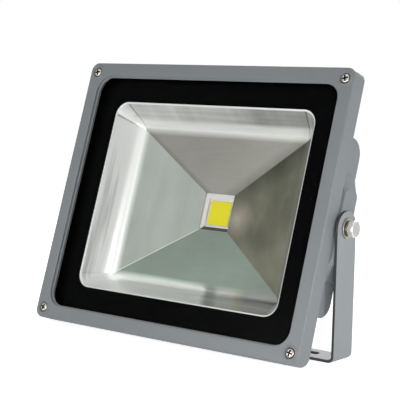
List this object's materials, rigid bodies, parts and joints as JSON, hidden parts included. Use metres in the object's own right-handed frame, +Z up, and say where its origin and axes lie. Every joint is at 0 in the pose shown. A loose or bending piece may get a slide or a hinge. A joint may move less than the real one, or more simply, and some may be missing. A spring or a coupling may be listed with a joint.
{
  "type": "led floodlight",
  "caption": "Square-fronted flood lamp with a grey cast frame, glass window, pyramid reflector and yellow square emitter, tilting in a U-shaped bracket with slotted base.",
  "frame": {"origin": "middle of the bracket's base plate, on its underside", "axes": "+Z up, +X to the lamp's left as it shines (right in the picture), the lamp faces -Y and leans back"},
  "size_m": [0.313, 0.1407, 0.2364],
  "materials": {
    "cast_grey": "grey powder coat on a die casting",
    "sheet_grey": "grey powder coat on bent steel sheet",
    "window_glass": "clear toughened glass with a black printed border",
    "silicone": "translucent grey silicone",
    "reflector_sheet": "polished and lightly brushed",
    "emitter_base": "plated metal base",
    "emitter_frame": "white moulded frame",
    "emitter_phosphor": "yellow phosphor gel",
    "driver_case": "plain case",
    "lead_red": "red insulation",
    "lead_black": "black insulation",
    "plated_steel": "bright zinc plate",
    "gland_rubber": "black rubber",
    "gland_black": "black nylon"
  },
  "bodies": {
    "bracket": {"yoke": "sheet_grey", "flat_washer_left": "plated_steel", "flat_washer_right": "plated_steel"},
    "head": {"front_bezel": "cast_grey", "glass": "window_glass", "glass_seal": "silicone", "reflector": "reflector_sheet", "cob_base": "emitter_base", "cob_frame": "emitter_frame", "cob_phosphor": "emitter_phosphor", "bezel_screw_1": "plated_steel", "bezel_screw_2": "plated_steel", "bezel_screw_3": "plated_steel", "bezel_screw_4": "plated_steel", "cob_screw_1": "plated_steel", "cob_screw_2": "plated_steel", "cob_screw_3": "plated_steel", "cob_screw_4": "plated_steel", "rear_housing": "cast_grey", "driver": "driver_case", "driver_screw_1": "plated_steel", "driver_screw_2": "plated_steel", "lead_positive": "lead_red", "lead_negative": "lead_black", "chamber_gasket": "silicone", "chamber_cover": "cast_grey", "cover_screw_1": "plated_steel", "cover_screw_2": "plated_steel", "cover_screw_3": "plated_steel", "cover_screw_4": "plated_steel", "gland_washer": "gland_rubber", "gland_body": "gland_black", "gland_seal": "gland_rubber", "gland_nut": "gland_black", "gland_locknut": "gland_black", "pivot_bolt_left": "plated_steel", "pivot_bolt_right": "plated_steel", "spring_washer_left": "plated_steel", "spring_washer_right": "plated_steel"}
  },
  "joints": [
    {"name": "tilt", "type": "hinge", "parent": "bracket", "child": "head", "pos_m": [0, 0, 0.1082], "axis": [-1, 0, 0], "range_deg": [0, 134]}
  ]
}
